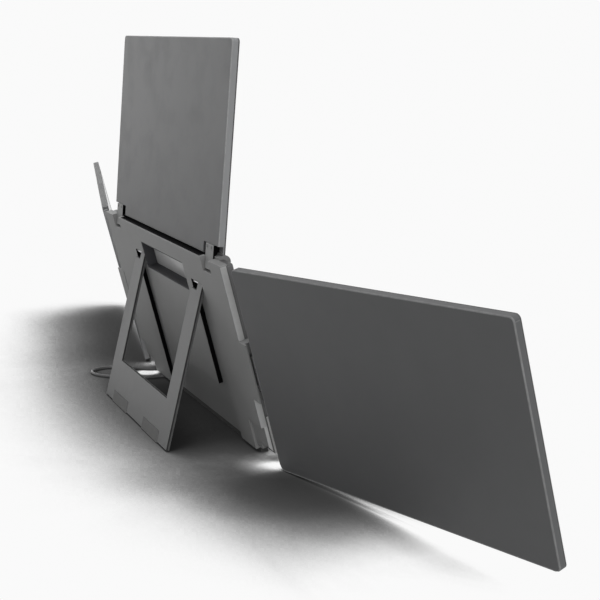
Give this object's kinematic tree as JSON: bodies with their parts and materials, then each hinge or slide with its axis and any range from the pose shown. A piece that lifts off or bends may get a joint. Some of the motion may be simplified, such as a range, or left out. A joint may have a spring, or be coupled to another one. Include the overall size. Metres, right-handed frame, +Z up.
{
  "type": "laptop screen extender",
  "caption": "Back frame on a kickstand that stands behind a laptop and carries folding portable displays at each side and above.",
  "frame": {"origin": "on the desk, at the middle of the rubber foot under the back frame's lower edge", "axes": "+Z up, +X along the frame's width to the user's right, the user sits towards -Y"},
  "size_m": [1.0404, 0.206, 0.3769],
  "materials": {
    "shell": "fine satin grey",
    "front": "fine satin near black",
    "cover": "bead blasted, dark grey",
    "stand": "bead blasted, grey",
    "display": "gloss black",
    "board": "solder mask",
    "steel": "bright",
    "rubber": "matt",
    "lead": "matt grey jacket",
    "button": "satin"
  },
  "bodies": {
    "frame": {"rear_shell": "shell", "front_frame": "front", "handle_liner": "front", "grip_plate": "shell", "hinge_bar": "front", "hub_board": "board", "hub_shield": "steel", "steel_stiffener": "steel", "corner_hook_left": "shell", "corner_hook_right": "shell", "hook_pads": "rubber", "base_feet": "rubber", "side_bracket_left": "shell", "side_bracket_right": "shell", "side_hinge_pins": "steel", "top_hinge_mounts": "front", "top_hinge_pins": "steel", "kickstand_pins": "steel", "body_screws": "steel", "lead_relief": "lead", "lead_tube": "lead", "lead_coil": "lead", "lead_plug": "lead"},
    "kickstand": {"kickstand": "stand", "kickstand_pads": "rubber"},
    "top_screen": {"top_cover": "cover", "top_bezel": "front", "top_display": "display", "top_board": "board", "top_ports": "steel", "top_arms": "stand", "top_screws": "steel"},
    "top_button": {"top_button": "button"},
    "left_screen": {"left_cover": "cover", "left_bezel": "front", "left_display": "display", "left_board": "board", "left_ports": "steel", "left_leaf": "steel", "left_screws": "steel"},
    "left_button": {"left_button": "button"},
    "right_screen": {"right_cover": "cover", "right_bezel": "front", "right_display": "display", "right_board": "board", "right_ports": "steel", "right_leaf": "steel", "right_screws": "steel"},
    "right_button": {"right_button": "button"}
  },
  "joints": [
    {"name": "kickstand_hinge", "type": "hinge", "parent": "frame", "child": "kickstand", "pos_m": [-0.012, 0.04484, 0.15429], "axis": [1, 0, 0], "range_deg": [-28.2, 30]},
    {"name": "top_hinge", "type": "hinge", "parent": "frame", "child": "top_screen", "pos_m": [0, 0.04154, 0.18378], "axis": [-1, 0, 0], "range_deg": [-161, 8]},
    {"name": "left_hinge", "type": "hinge", "parent": "frame", "child": "left_screen", "pos_m": [-0.193, 0.01352, 0.0939], "axis": [0, -0.2436, -0.9699], "range_deg": [-166.5, 13.5]},
    {"name": "right_hinge", "type": "hinge", "parent": "frame", "child": "right_screen", "pos_m": [0.193, 0.01731, 0.09295], "axis": [0, 0.2436, 0.9699], "range_deg": [-166.5, 13.5]},
    {"name": "top_button_press", "type": "slide", "parent": "top_screen", "child": "top_button", "axis": [-1, 0, 0], "range_m": [0, 0.0004], "stiffness_N_per_m": 1500, "springref_m": -0.0003},
    {"name": "left_button_press", "type": "slide", "parent": "left_screen", "child": "left_button", "axis": [0, 0.2436, 0.9699], "range_m": [0, 0.0004], "stiffness_N_per_m": 1500, "springref_m": -0.0003},
    {"name": "right_button_press", "type": "slide", "parent": "right_screen", "child": "right_button", "axis": [0, 0.2436, 0.9699], "range_m": [0, 0.0004], "stiffness_N_per_m": 1500, "springref_m": -0.0003}
  ]
}
